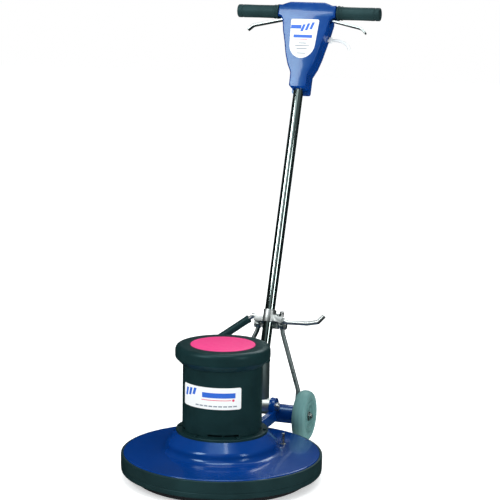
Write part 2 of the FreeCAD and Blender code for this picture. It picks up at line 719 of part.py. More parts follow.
HEAD_HALF = [
    ("head_shoulder - 13", "head_top"), ("head_shoulder - 4", "head_top - 10"),
    ("head_shoulder", "head_shoulder_z"), ("head_shoulder - 6", "head_shoulder_z - 32"),
    ("head_shoulder - 13", "head_shoulder_z - 60"), ("head_shoulder - 20", "head_shoulder_z - 92"),
    ("head_shoulder - 29", "head_shoulder_z - 120"), ("neck_half + 2", "head_shoulder_z - 138"),
    ("neck_half", "head_shoulder_z - 142"), ("neck_half - 1", "neck_bottom + 6"),
    ("neck_half - 8", "neck_bottom"),
]
CAVITY_HALF = [
    ("head_shoulder - 19", "head_shoulder_z - 14"), ("head_shoulder - 24", "head_shoulder_z - 60"),
    ("head_shoulder - 36", "head_shoulder_z - 102"),
]
COVER_HALF = [
    ("head_shoulder - 16", "head_top - 4"), ("head_shoulder - 4", "head_shoulder_z + 2"),
    ("head_shoulder - 10", "head_shoulder_z - 32"), ("head_shoulder - 18", "head_shoulder_z - 66"),
    ("head_shoulder - 28", "head_shoulder_z - 100"), ("head_shoulder - 44", "head_shoulder_z - 112"),
]
REAR_HALF = HEAD_HALF[:-2] + [("neck_half", "rear_neck_bottom")]


def lever_slots():
    """Slots in the head's sides for the switch levers, open outwards."""
    slots = []
    for side in SIDES.values():
        low = "lever_pin_x - 8" if side > 0 else "-(lever_pin_x + 24)"
        slots.append(box("32", "(lever_half_width + slot_play) * 2", "17",
                         (low, "-lever_half_width - slot_play", "lever_pin_z - 9.5")))
    return slots


def lever_pins():
    """The pins that the two switch levers turn on."""
    return group(*[cylinder("lever_pin_radius", "head_front + head_seam - 6",
                            (f"{side} * lever_pin_x", "-head_front + 4", "lever_pin_z"), ALONG_Y)
                   for side in SIDES.values()])


def head_screws():
    """Four screws through the back cover into the head."""
    screws = []
    for across, up in ((42, "head_top - 7"), (30, "head_shoulder_z - 92")):
        for side in SIDES.values():
            place = (f"{side * across}", "head_seam - 6", up)
            shank_length = "head_back + back_cover - head_seam + 6"
            head_place = (f"{side * across}", "head_back + back_cover", up)
            screws.append(fuse(cylinder("2", shank_length, place, ALONG_Y),
                               cylinder("4", "2.5", head_place, ALONG_Y)))
    return group(*screws)


def make_head_front(screws, pins):
    """The front casting: face, collars for the bar and a cavity for the switch."""
    face = plate(mirrored(HEAD_HALF), "head_front", "head_seam", "head_rounding", True)
    collar = cylinder("collar_radius", "collar_end * 2", ("-collar_end", 0, "bar_z"), ALONG_X)
    collar_back = box("collar_end * 2", "collar_radius", "collar_radius * 2",
                      ("-collar_end", "head_seam", "bar_z - collar_radius"))
    cavity = plate(mirrored(CAVITY_HALF), "cavity_depth", "head_seam")
    bar_hole = cylinder("bar_radius", "collar_end * 2", ("-collar_end", 0, "bar_z"), ALONG_X)
    tube_hole = cylinder("tube_radius", "tube_end - neck_bottom + 2", (0, 0, "neck_bottom - 2"))
    button_hole = box("button_width + 1", "button_depth + 1", "button_height + 1",
                      ("button_x - (button_width + 1) / 2", "-(button_depth + 1) / 2",
                       "head_top - button_height + 0.5"))
    solid = cut(fuse(face, collar), collar_back, cavity, bar_hole, tube_hole, button_hole)
    return cut(solid, *lever_slots(), pins, screws)


def make_head_rear(screws):
    """The rear casting, which reaches lower on the neck; hollow behind the switch."""
    shell = plate(mirrored(REAR_HALF), "-head_seam", "head_back", "head_rounding")
    hollow = plate(mirrored(CAVITY_HALF), "-head_seam", "head_back")
    hook_hole = cylinder("hook_radius + running_fit", "30", ("hook_x - 8", "hook_y", "hook_z"), ALONG_X)
    return cut(shell, hollow, screws, hook_hole)


def make_back_cover(screws, gland):
    """The black back cover over the switch hollow."""
    lid = plate(mirrored(COVER_HALF), "-head_back", "head_back + back_cover", "head_rounding - 1")
    return cut(lid, screws, gland)


def make_grip():
    """A handlebar grip about +Z: flange, barrel, rounded closed end."""
    length = "grip_end - grip_start"
    return turned([
        ("bar_radius", 0), ("grip_flange_radius", 0), ("grip_flange_radius", "grip_flange"),
        ("grip_radius", "grip_flange"), ("grip_radius", length), (0, length),
        (0, "bar_end - grip_start"), ("bar_radius", "bar_end - grip_start")],
        [(dim("grip_radius"), dim("grip_end") - dim("grip_start"), "rim_rounding + 1")])


def gland_barrel():
    """The outside of the cord inlet, which stands out of the back cover."""
    return cylinder("gland_radius", "gland_length", (0, "head_back + 2", "gland_z"), ALONG_Y)


def make_gland():
    """The cord inlet on the head's back: a strain-relief barrel with a collar."""
    collar = cylinder("gland_radius + 2", "5", (0, "head_back + back_cover", "gland_z"), ALONG_Y)
    mouth = cylinder("gland_radius - 2.5", "gland_length", (0, "head_back + 8", "gland_z"), ALONG_Y)
    return cut(fuse(gland_barrel(), collar), mouth)


def make_switch_lever(side):
    """A switch lever: an eye on its pin and a flat bar with a bent-down tip."""
    across = [(-6, 2), (14, 0.8), (94, -17.5), (108, -30)]
    top = [(f"{side} * (lever_pin_x + {x})", f"lever_pin_z + {z} + lever_bar / 2") for x, z in across]
    low = [(f"{side} * (lever_pin_x + {x - 1.5})", f"lever_pin_z + {z} - lever_bar / 2") for x, z in across]
    bar = plate(top + low[::-1], "lever_half_width", "lever_half_width")
    eye = cylinder("lever_pin_radius + 2.5", "lever_half_width * 2",
                   (f"{side} * lever_pin_x", "-lever_half_width", "lever_pin_z"), ALONG_Y)
    hole = cylinder("lever_pin_radius + running_fit", "lever_half_width * 2",
                    (f"{side} * lever_pin_x", "-lever_half_width", "lever_pin_z"), ALONG_Y)
    return cut(fuse(bar, eye), hole)


def make_cord_hook():
    """The swivelling cord hook: boss, straight run and drooping tip."""
    x, y, z = dim("hook_x"), dim("hook_y"), dim("hook_z")
    points = [(x, y, z), (x + 38, y, z), (x + 53, y, z - 4), (x + 65, y, z - 12), (x + 71, y, z - 23)]
    collar = cylinder("hook_radius * 2", "6", ("hook_x + 15", "hook_y", "hook_z"), ALONG_X)
    return fuse(rod_path(points, "hook_radius"), collar)


sub_part("lever_pins", lean(lever_pins()))
sub_part("head_screws", lean(head_screws()))
upright_pins = lever_pins()
upright_screws = head_screws()
sub_part("head_casting", lean(make_head_front(upright_screws, upright_pins)))
sub_part("head_rear_casting", lean(make_head_rear(upright_screws)))
sub_part("head_back_cover", lean(make_back_cover(upright_screws, gland_barrel())))
sub_part("handlebar", lean(cylinder("bar_radius", "bar_end * 2", ("-bar_end", 0, "bar_z"), ALONG_X)))
for side_name, side in SIDES.items():
    turn = ALONG_X if side > 0 else ALONG_MINUS_X
    grip = make_grip()
    grip.Placement = FreeCAD.Placement(V(side * dim("grip_start"), 0, dim("bar_z")), turn)
    sub_part(f"grip_{side_name}", lean(grip))
    sub_part(f"switch_lever_{side_name}", lean(make_switch_lever(side)))
sub_part("head_decal", lean(plate(
    mirrored([("38", "head_top - 47"), ("33", "head_top - 118"), ("20", "head_top - 142"),
              ("6", "head_top - 150")]), "head_front + decal_thickness", "-head_front", "rim_rounding")))
sub_part("switch_block", lean(box("50", "22", "34", (-25, -14, "head_shoulder_z - 56"))))
sub_part("interlock_button", lean(box(
    "button_width", "button_depth", "button_height",
    ("button_x - button_width / 2", "-button_depth / 2", "head_top + button_proud - button_height"))))
sub_part("cord_gland", lean(make_gland()))
sub_part("cord_hook", lean(make_cord_hook()))


# ---------------------------------------------------------------- clamp, braces and levers

def make_clamp():
    """The height clamp: a sleeve on the tube, a left wing, a lever mount and a cross lug."""
    sleeve = cylinder("clamp_radius", "clamp_height", (0, 0, "clamp_bottom"))
    wing = box("clamp_wing + 12", "24", "clamp_height", ("-clamp_wing", -12, "clamp_bottom"))
    mount = box("11.5", "24", "16", ("12", -12, "clamp_bottom + 2"))
    cheeks = [box("16", "2.5", "14", ("lock_x - 11", start, "lock_z - 6")) for start in (9.5, -12)]
    lock_pin = cylinder("lock_pin_radius", "24", ("lock_x", -12, "lock_z"), ALONG_Y)
    lug = box("44", "17", "clamp_height + 6", (-22, 11, "clamp_bottom - 12"))
    bore = cylinder("tube_radius + running_fit", "clamp_height * 2", (0, 0, "clamp_bottom - 14"))
    cross = cylinder("cross_radius", "cross_half * 2", ("-cross_half", "cross_y", "cross_z"), ALONG_X)
    return cut(fuse(sleeve, wing, mount, lug, lock_pin, *cheeks), bore, cross)


def make_cross_bolt():
    """The bolt that joins both braces to the clamp, with a head at each end."""
    shank = cylinder("cross_radius", "cross_half * 2", ("-cross_half", "cross_y", "cross_z"), ALONG_X)
    heads = [cylinder("cross_radius + 3", "4", (start, "cross_y", "cross_z"), ALONG_X)
             for start in ("cross_half", "-cross_half - 4")]
    return fuse(shank, *heads)


def make_brace(side):
    """A brace from the cross bolt out past the truck and down to the axle."""
    top = V(0, dim("cross_y"), dim("cross_z"))
    foot = HANDLE_FRAME.inverse().multVec(V(0, dim("axle_y"), dim("axle_z")))
    run = foot - top

    def at(share, across):
        return tuple(top + run * share + V(side * across, 0, 0))
    top_x, foot_x = dim("brace_top_x"), dim("brace_foot_x")
    bends = [at(0, top_x), at(0.08, top_x + 3), at(0.72, foot_x - 1), at(0.93, foot_x)]
    bar = rod_path(bends, "brace_radius")
    top_start = (f"{side} * brace_top_x - 4", "cross_y", "cross_z")
    foot_start = (side * foot_x - 2, foot.y, foot.z)
    eye_top = tube("cross_radius + 5", "cross_radius + running_fit", "8", top_start, ALONG_X)
    eye_foot = tube("axle_radius + brace_eye + 5", "axle_radius + brace_eye", "4", foot_start, ALONG_X)
    flat = [box("20", "60", "60", (start, foot.y - 30, foot.z - 30))
            for start in (side * foot_x - 22, side * foot_x + 2)]
    holes = [cylinder("cross_radius + 3", "20",
                      (f"{side} * brace_top_x - 10", "cross_y", "cross_z"), ALONG_X),
             cylinder("axle_radius + brace_eye + 3", "14", (side * foot_x - 7, foot.y, foot.z), ALONG_X)]
    return fuse(cut(bar, *flat, *holes), eye_top, eye_foot)


def make_lock_lever():
    """The clamp's lock lever: cam eye and a long bar with an upturned tip."""
    x, z = dim("lock_x"), dim("lock_z")
    bar = rod_path([(x, 0, z), (x + 18, 0, z - 3.5), (x + 68, 0, z - 2), (x + 96, 0, z + 4),
                    (x + 110, 0, z + 21)], "lock_radius")
    eye = cylinder("lock_radius + 3", "18", ("lock_x", -9, "lock_z"), ALONG_Y)
    pin = cylinder("lock_pin_radius + running_fit", "18", ("lock_x", -9, "lock_z"), ALONG_Y)
    return cut(fuse(bar, eye), pin)


def lift_placement(along):
    """A place along the lift grip's axis, which runs down to the left from the clamp's wing."""
    turn = FreeCAD.Rotation(Y_AXIS, -dim("lift_angle"))
    start = V(dim("lift_x"), 0, dim("lift_z"))
    return FreeCAD.Placement(start + turn.multVec(V(0, 0, along)), turn)


def make_lift_core():
    core = moved(cylinder("lift_core_radius", "lift_length"), lift_placement(2))
    root = cylinder("lift_core_radius + 2", "10", ("-clamp_wing - 10", 0, "lift_z"), ALONG_X)
    return fuse(core, root)


def make_lift_sleeve():
    return moved(tube("lift_radius", "lift_core_radius", "lift_length - 6"), lift_placement(13))


sub_part("height_clamp", lean(make_clamp()))
sub_part("cross_bolt", lean(make_cross_bolt()))
for side_name, side in SIDES.items():
    sub_part(f"brace_{side_name}", lean(make_brace(side)))
sub_part("lock_lever", lean(make_lock_lever()))
sub_part("lift_grip_core", lean(make_lift_core()))
sub_part("lift_grip_sleeve", lean(make_lift_sleeve()))


# ---------------------------------------------------------------- check and write

def check(items):
    """Stop on any failed object and on any sub-part without a valid solid."""
    for item in doc.Objects:
        if "Invalid" in item.State or "Error" in item.State:
            raise RuntimeError(f"{item.Label} failed: {item.State}")
    for item in items:
        shape = item.Shape
        if shape.isNull() or not shape.isValid() or not shape.Solids:
            raise RuntimeError(f"{item.Label} has no valid shape")


doc.recompute()
check(sub_parts)
os.makedirs("parts", exist_ok=True)
for item in sub_parts:
    item.Shape.exportStep(os.path.join("parts", item.Label + ".step"))
    print(item.Label, len(item.Shape.Solids), round(item.Shape.Volume / 1000.0, 1))
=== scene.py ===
"""Looks of the rotary floor machine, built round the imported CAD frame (metres)."""
import json
import math

import bmesh
import bpy
from mathutils import Matrix, Vector


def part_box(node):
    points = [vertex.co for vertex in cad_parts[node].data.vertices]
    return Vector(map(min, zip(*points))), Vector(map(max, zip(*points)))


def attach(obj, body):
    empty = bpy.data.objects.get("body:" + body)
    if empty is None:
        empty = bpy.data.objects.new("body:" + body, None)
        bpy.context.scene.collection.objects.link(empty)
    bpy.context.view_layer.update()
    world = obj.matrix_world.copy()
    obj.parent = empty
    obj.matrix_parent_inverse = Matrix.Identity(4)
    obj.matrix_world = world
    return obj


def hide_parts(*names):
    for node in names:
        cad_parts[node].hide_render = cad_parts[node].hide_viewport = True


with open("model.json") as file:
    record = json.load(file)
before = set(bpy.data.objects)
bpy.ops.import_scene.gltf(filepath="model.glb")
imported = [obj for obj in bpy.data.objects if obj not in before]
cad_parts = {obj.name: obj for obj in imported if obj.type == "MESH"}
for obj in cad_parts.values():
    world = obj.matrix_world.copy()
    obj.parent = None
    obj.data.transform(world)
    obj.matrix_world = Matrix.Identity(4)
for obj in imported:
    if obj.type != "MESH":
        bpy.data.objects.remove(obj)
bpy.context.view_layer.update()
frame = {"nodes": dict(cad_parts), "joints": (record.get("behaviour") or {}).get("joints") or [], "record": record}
RECORD = frame["record"]
NODES = frame["nodes"]
JOINTS = {joint["name"]: joint for joint in frame["joints"]}
NODE_BODY = {node: body for body, nodes in RECORD["behaviour"]["bodies"].items() for node in nodes}
NODE_SLOT = {part["node"]: part["material_slot"] for part in RECORD["subparts"]}
MM = 0.001
SIDES = {"left": -1, "right": 1}
HEAD_FRONT = -20
HEAD_BACK = 14.8
TUBE_RADIUS = 12.7
TUBE_BORE = 11
HUB_RADIUS = 44
HUB_BORE = 6.4
GRIP_START = 78.5
GRIP_HEIGHT = 1022.5
LABEL_ARC = math.radians(95)
LABEL_THICKNESS = 0.4
PRINT_THICKNESS = 0.08
DECAL_LIFT = 0.5
DECAL_PRINT_LIFT = 0.62
LEVER_HALF_HEIGHT = 2.6
LEVER_HALF_WIDTH = 7


# ---------------------------------------------------------------- places

def handle_frame():
    """The handle's own frame: hinge as origin, X to the right, Z up the tube, all in metres."""
    up = Vector(JOINTS["clamp_slide"]["axis"]).normalized()
    right = Vector((1, 0, 0))
    back = up.cross(right)
    frame_axes = Matrix((right, back, up)).transposed().to_4x4()
    return Matrix.Translation(JOINTS["handle_tilt"]["pos_m"]) @ frame_axes


HANDLE = handle_frame()
TO_X = Matrix.Rotation(math.radians(90), 4, "Y")
TO_MINUS_X = Matrix.Rotation(math.radians(-90), 4, "Y")


def at(x, y, z):
    """A translation given in millimetres."""
    return Matrix.Translation((x * MM, y * MM, z * MM))


# ---------------------------------------------------------------- materials

def socket(shader, name, value):
    """Set a constant on the shader's own socket."""
    shader.inputs[name].default_value = value


def new_material(name):
    material = bpy.data.materials.new(name)
    material.use_nodes = True
    return material, material.node_tree, material.node_tree.nodes["Principled BSDF"]


def noise(tree, scale, detail=6.0, stretch=(1, 1, 1)):
    """A noise texture in object coordinates."""
    place = tree.nodes.new("ShaderNodeTexCoord")
    mapping = tree.nodes.new("ShaderNodeMapping")
    mapping.inputs["Scale"].default_value = stretch
    texture = tree.nodes.new("ShaderNodeTexNoise")
    texture.inputs["Scale"].default_value = scale
    texture.inputs["Detail"].default_value = detail
    tree.links.new(place.outputs["Object"], mapping.inputs["Vector"])
    tree.links.new(mapping.outputs["Vector"], texture.inputs["Vector"])
    return texture


def ramp(tree, source, low, high, start=0.3, end=0.7):
    """Map a noise to two colours or to two grey values."""
    node = tree.nodes.new("ShaderNodeValToRGB")
    node.color_ramp.elements[0].position = start
    node.color_ramp.elements[1].position = end
    node.color_ramp.elements[0].color = low
    node.color_ramp.elements[1].color = high
    tree.links.new(source.outputs["Fac"], node.inputs["Fac"])
    return node


def grey(value):
    return (value, value, value, 1)


def tinted(color, factor):
    return tuple(min(1.0, part * factor) for part in color[:3]) + (1,)


def roughness_from(tree, shader, source, low, high):
    node = ramp(tree, source, grey(low), grey(high))
    tree.links.new(node.outputs["Color"], shader.inputs["Roughness"])


def color_from(tree, shader, source, color, spread):
    node = ramp(tree, source, tinted(color, 1 - spread), tinted(color, 1 + spread))
    tree.links.new(node.outputs["Color"], shader.inputs["Base Color"])


def bump_from(tree, shader, source, strength, distance):
    node = tree.nodes.new("ShaderNodeBump")
    node.inputs["Strength"].default_value = strength
    node.inputs["Distance"].default_value = distance
    tree.links.new(source.outputs["Fac"], node.inputs["Height"])
    tree.links.new(node.outputs["Normal"], shader.inputs["Normal"])


def enamel(name, color):
    """Gloss enamel over a casting: faint orange peel, dust in the finish, clear coat."""
    material, tree, shader = new_material(name)
    color_from(tree, shader, noise(tree, 9), color, 0.1)
    roughness_from(tree, shader, noise(tree, 60), 0.16, 0.26)
    bump_from(tree, shader, noise(tree, 260, 3), 0.12, 0.0006)
    socket(shader, "Specular Tint", (0.35, 0.75, 1, 1))
    socket(shader, "Coat Weight", 0.5)
    socket(shader, "Coat Roughness", 0.06)
    return material


def moulded(name, color, low=0.38, high=0.5, grain=0.18):
    """Moulded plastic with a fine spark-eroded grain."""
    material, tree, shader = new_material(name)
    color_from(tree, shader, noise(tree, 25), color, 0.14)
    roughness_from(tree, shader, noise(tree, 90), low, high)
    bump_from(tree, shader, noise(tree, 900, 4), grain, 0.0003)
    socket(shader, "Specular IOR Level", 0.34)
    socket(shader, "Specular Tint", (0.55, 0.95, 1, 1))
    return material


def rubber(name, color, low=0.5, high=0.66):
    """Moulded rubber: broad bloom marks and a fine skin."""
    material, tree, shader = new_material(name)
    color_from(tree, shader, noise(tree, 14, 8), color, 0.2)
    roughness_from(tree, shader, noise(tree, 45), low, high)
    bump_from(tree, shader, noise(tree, 520, 5), 0.25, 0.0004)
    socket(shader, "Specular IOR Level", 0.3)
    socket(shader, "Specular Tint", (0.55, 0.95, 1, 1))
    return material


def metal(name, color, low, high, stretch=(1, 1, 1), grain=0.1, scale=300.0):
    """Bare or plated metal; stretch draws the grain out along the brushing."""
    material, tree, shader = new_material(name)
    socket(shader, "Metallic", 1.0)
    color_from(tree, shader, noise(tree, 18), color, 0.07)
    roughness_from(tree, shader, noise(tree, 70, 6, stretch), low, high)
    bump_from(tree, shader, noise(tree, scale, 4, stretch), grain, 0.0003)
    return material


def film(name, color):
    """Printed label film: nearly flat, faintly mottled by the glue under it."""
    material, tree, shader = new_material(name)
    color_from(tree, shader, noise(tree, 30), color, 0.025)
    roughness_from(tree, shader, noise(tree, 120), 0.32, 0.42)
    bump_from(tree, shader, noise(tree, 180, 2), 0.05, 0.0002)
    return material


def fibre(name, color):
    """Open nylon fibre of the floor pad."""
    material, tree, shader = new_material(name)
    color_from(tree, shader, noise(tree, 420, 9), color, 0.5)
    bump_from(tree, shader, noise(tree, 700, 9), 1.0, 0.002)
    socket(shader, "Roughness", 0.95)
    return material


BLUE = (0.0, 0.035, 0.21)
MATERIALS = {
    "blue_enamel": enamel("blue_enamel", BLUE),
    "bumper_rubber": rubber("bumper_rubber", (0.008, 0.026, 0.028), 0.38, 0.52),
    "grip_rubber": rubber("grip_rubber", (0.014, 0.036, 0.038), 0.42, 0.56),
    "black_plastic": moulded("black_plastic", (0.006, 0.024, 0.026), 0.3, 0.4, 0.1),
    "gland_rubber": rubber("gland_rubber", (0.014, 0.014, 0.014)),
    "button_plastic": moulded("button_plastic", (0.004, 0.04, 0.3)),
    "pink_disc": film("pink_disc", (0.87, 0.05, 0.25)),
    "label_film": film("label_film", (0.84, 0.86, 0.86)),
    "grey_tyre": rubber("grey_tyre", (0.13, 0.27, 0.265), 0.42, 0.56),
    "grey_hub": moulded("grey_hub", (0.11, 0.24, 0.235), 0.36, 0.48),
    "silver_casting": metal("silver_casting", (0.66, 0.7, 0.69), 0.3, 0.46, grain=0.3, scale=420.0),
    "can_metal": metal("can_metal", (0.36, 0.47, 0.46), 0.4, 0.55),
    "chrome_tube": metal("chrome_tube", (0.62, 0.74, 0.71), 0.05, 0.1, (1, 1, 0.06), 0.03),
    "bright_steel": metal("bright_steel", (0.6, 0.62, 0.6), 0.2, 0.34),
    "lever_steel": metal("lever_steel", (0.6, 0.68, 0.67), 0.3, 0.42, (0.1, 1, 1), 0.08),
    "hook_coating": moulded("hook_coating", (0.78, 0.81, 0.82), 0.3, 0.4, 0.06),
    "brace_steel": metal("brace_steel", (0.3, 0.36, 0.36), 0.26, 0.4),
    "gear_steel": metal("gear_steel", (0.45, 0.45, 0.46), 0.25, 0.36),
    "core_steel": metal("core_steel", (0.24, 0.24, 0.26), 0.4, 0.5),
    "motor_aluminium": metal("motor_aluminium", (0.55, 0.56, 0.56), 0.42, 0.56, grain=0.4),
    "fan_plastic": moulded("fan_plastic", (0.08, 0.08, 0.08)),
    "driver_plastic": moulded("driver_plastic", (0.05, 0.055, 0.06)),
    "pad_fibre": fibre("pad_fibre", (0.02, 0.02, 0.024)),
}
PRINT_BLUE = film("print_blue", (0.01, 0.12, 0.6))
PRINT_RED = film("print_red", (0.75, 0.03, 0.12))
PRINT_GREY = film("print_grey", (0.22, 0.26, 0.3))
SPRING_STEEL = metal("spring_steel", (0.06, 0.08, 0.08), 0.3, 0.42)


# ---------------------------------------------------------------- pieces

def piece(name, mesh, body, material, replaced=()):
    """Link a finished mesh as a piece of a body."""
    item = bpy.data.objects.new(name, mesh)
    bpy.context.scene.collection.objects.link(item)
    mesh.materials.clear()
    mesh.materials.append(material)
    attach(item, body)
    if replaced:
        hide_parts(*replaced)
    return item


def mesh_from(bm, name, smooth_angle=35):
    """Turn a bmesh into a mesh, smooth except across sharp edges."""
    bmesh.ops.remove_doubles(bm, verts=bm.verts, dist=1e-6)
    bmesh.ops.recalc_face_normals(bm, faces=bm.faces)
    for face in bm.faces:
        face.smooth = True
    limit = math.radians(smooth_angle)
    for edge in bm.edges:
        edge.smooth = len(edge.link_faces) == 2 and edge.calc_face_angle(0.0) < limit
    mesh = bpy.data.meshes.new(name)
    bm.to_mesh(mesh)
    bm.free()
    return mesh


def rounded(points, radii, steps=7):
    """An outline of 2-D points with the named corners eased by parabolas."""
    result = []
    count = len(points)
    for number, corner in enumerate(points):
        radius = radii.get(number, 0)
        here = Vector(corner)
        before = Vector(points[number - 1]) - here
        after = Vector(points[(number + 1) % count]) - here
        if not radius:
            result.append(here)
            continue
        half = before.angle(after) / 2
        reach = min(radius / math.tan(half), before.length * 0.49, after.length * 0.49)
        start = here + before.normalized() * reach
        end = here + after.normalized() * reach
        for step in range(steps + 1):
            share = step / steps
            blend_in = start.lerp(here, share)
            blend_out = here.lerp(end, share)
            result.append(blend_in.lerp(blend_out, share))
    return result


def lathe(name, outline, place=Matrix.Identity(4), segments=128, smooth_angle=35):
    """Revolve a closed (radius, height) outline in millimetres about +Z of place."""
    bm = bmesh.new()
    rings = []
    for turn in range(segments):
        angle = 2 * math.pi * turn / segments
        ring = []
        for radius, height in outline:
            spot = Vector((radius * math.cos(angle), radius * math.sin(angle), height)) * MM
            ring.append(bm.verts.new(place @ spot))
        rings.append(ring)
    count = len(outline)
    for turn in range(segments):
        here, there = rings[turn], rings[(turn + 1) % segments]
        for step in range(count):
            after = (step + 1) % count
            if outline[step][0] < 1e-6 and outline[after][0] < 1e-6:
                continue
            corners = [here[step], there[step], there[after], here[after]]
            if outline[step][0] < 1e-6:
                corners.pop(1)
            elif outline[after][0] < 1e-6:
                corners.pop(2)
            bm.faces.new(corners)
    return mesh_from(bm, name, smooth_angle)


def prism(name, outline, low, high, place, bevel=0.0, front_only=False):
    """Extrude an (x, z) outline in millimetres from y = low to y = high, rims bevelled."""
    bm = bmesh.new()
    near = [bm.verts.new(Vector((x, low, z)) * MM) for x, z in outline]
    face = bm.faces.new(near)
    grown = bmesh.ops.extrude_face_region(bm, geom=[face])
    moved = [item for item in grown["geom"] if isinstance(item, bmesh.types.BMVert)]
    bmesh.ops.translate(bm, verts=moved, vec=Vector((0, high - low, 0)) * MM)
    if bevel:
        rims = [edge for edge in bm.edges if abs(edge.verts[0].co.y - edge.verts[1].co.y) < 1e-7
                and (not front_only or edge.verts[0].co.y < (low + 0.1) * MM)]
        bmesh.ops.bevel(bm, geom=rims, offset=bevel * MM, segments=5, profile=0.5, affect="EDGES",
                        clamp_overlap=True)
    bm.transform(place)
    return mesh_from(bm, name)


def softened(node, width, material=None, smooth_angle=40):
    """A CAD piece with its hard edges bevelled, standing for the CAD node."""
    bm = bmesh.new()
    bm.from_mesh(NODES[node].data)
    bmesh.ops.remove_doubles(bm, verts=bm.verts, dist=2e-6)
    bmesh.ops.dissolve_limit(bm, angle_limit=math.radians(1.0), verts=bm.verts, edges=bm.edges)
    sharp = [edge for edge in bm.edges
             if len(edge.link_faces) == 2 and edge.calc_face_angle(0.0) > math.radians(32)]
    bmesh.ops.bevel(bm, geom=sharp, offset=width * MM, segments=3, profile=0.5,
                    affect="EDGES", clamp_overlap=True)
    mesh = mesh_from(bm, node + "_mesh", smooth_angle)
    slot = NODE_SLOT[node]
    return piece("soft_" + node, mesh, NODE_BODY[node], material or MATERIALS[slot], (node,))


def hex_nut(name, across, height, place, body, bore=0.0):
    """A chamfered hexagon, with a threaded end standing out of it."""
    corner = across / math.sqrt(3)
    bm = bmesh.new()
    bottom = [bm.verts.new(Vector((corner * math.cos(math.pi * side / 3),
                                   corner * math.sin(math.pi * side / 3), 0)) * MM) for side in range(6)]
    face = bm.faces.new(bottom)
    grown = bmesh.ops.extrude_face_region(bm, geom=[face])
    lifted = [item for item in grown["geom"] if isinstance(item, bmesh.types.BMVert)]
    bmesh.ops.translate(bm, verts=lifted, vec=(0, 0, height * MM))
    bmesh.ops.bevel(bm, geom=list(bm.edges), offset=0.6 * MM, segments=2, profile=0.5, affect="EDGES")
    if bore:
        end = lathe(name + "_end", rounded([(0, 0), (bore, 0), (bore, height + 2.5), (0, height + 2.5)],
                                           {2: 0.8}), segments=32)
        bm.from_mesh(end)
    bm.transform(place)
    return piece(name, mesh_from(bm, name), body, MATERIALS["bright_steel"])


def coil(name, radius, wire, pitch, turns, place, body):
    """A helical spring as a mesh tube."""
    curve = bpy.data.curves.new(name, "CURVE")
    curve.dimensions = "3D"
    curve.bevel_depth = wire * MM
    curve.bevel_resolution = 3
    spline = curve.splines.new("POLY")
    steps = int(turns * 20)
    spline.points.add(steps)
    for step in range(steps + 1):
        angle = 2 * math.pi * step / 20
        spot = place @ (Vector((radius * math.cos(angle), radius * math.sin(angle),
                                pitch * step / 20)) * MM)
        spline.points[step].co = (*spot, 1)
    holder = bpy.data.objects.new(name + "_curve", curve)
    mesh = bpy.data.meshes.new_from_object(holder)
    bpy.data.objects.remove(holder)
    for polygon in mesh.polygons:
        polygon.use_smooth = True
    return piece(name, mesh, body, SPRING_STEEL)


def give_materials():
    """Every CAD node takes the material of its slot."""
    for node, item in NODES.items():
        item.data.materials.clear()
        item.data.materials.append(MATERIALS[NODE_SLOT[node]])


give_materials()


# ---------------------------------------------------------------- bumper, pad and deck

def make_bumper():
    """The rubber ring round the skirt, with a shallow groove in its face."""
    low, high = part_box("bumper")
    outer = high.x / MM
    bottom, top = low.z / MM, high.z / MM
    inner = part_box("deck_housing")[1].x / MM
    middle = (bottom + top) / 2
    outline = rounded([
        (inner - 6, bottom), (outer - 1, bottom), (outer, middle - 9), (outer - 0.9, middle - 8),
        (outer - 0.9, middle - 6), (outer, middle - 5), (outer, top), (inner, top),
        (inner, bottom + 6), (inner - 6, bottom + 6)], {1: 6, 6: 5, 7: 1.2}, 6)
    piece("bumper_ring", lathe("bumper_ring", outline, segments=192), "chassis",
          MATERIALS["bumper_rubber"], ("bumper",))


def make_pad():
    """The floor pad with a ragged fibrous edge."""
    low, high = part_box("floor_pad")
    outer, top = high.x / MM, high.z / MM
    outline = rounded([(0, 0), (outer, 0), (outer, top * 0.33), (outer - 2, top * 0.5),
                       (outer, top * 0.66), (outer, top), (0, top)], {1: 4, 5: 3}, 5)
    mesh = lathe("pad_disc", outline, segments=256)
    for vertex in mesh.vertices:
        reach = Vector((vertex.co.x, vertex.co.y)).length
        if reach > (outer - 8) * MM:
            ripple = math.sin(vertex.index * 12.9898) * 43758.5453
            pull = (ripple - math.floor(ripple)) * 0.8 * MM
            vertex.co.x *= 1 - pull / reach
            vertex.co.y *= 1 - pull / reach
    piece("pad_disc", mesh, "pad_drive", MATERIALS["pad_fibre"], ("floor_pad",))


make_bumper()
make_pad()


# ---------------------------------------------------------------- motor cap, disc and labels

def make_cap():
    """The mushroom cap's shell and the coloured disc let into its top."""
    low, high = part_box("motor_cap")
    outer, bottom, top = high.x / MM, low.z / MM, high.z / MM
    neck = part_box("motor_cover")[1].x / MM
    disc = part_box("cap_disc")[1].x / MM
    outline = rounded([
        (neck, bottom), (neck + 3, bottom), (outer, bottom + 15), (outer, top), (disc + 1.5, top),
        (disc + 0.4, top - 1.5), (0, top - 1.5), (0, top - 5), (outer - 4, top - 5),
        (outer - 4, bottom + 19), (neck, bottom + 6)], {1: 2, 2: 9, 3: 14, 4: 0.8}, 9)
    piece("cap_shell", lathe("cap_shell", outline, segments=192), "chassis",
          MATERIALS["black_plastic"], ("motor_cap",))
    sheet_outline = rounded([(0, top - 1.5), (disc, top - 1.5), (disc, top + 0.3), (0, top + 0.3)],
                            {2: 0.5}, 4)
    piece("cap_disc_print", lathe("cap_disc_print", sheet_outline, segments=160), "chassis",
          MATERIALS["pink_disc"], ("cap_disc",))


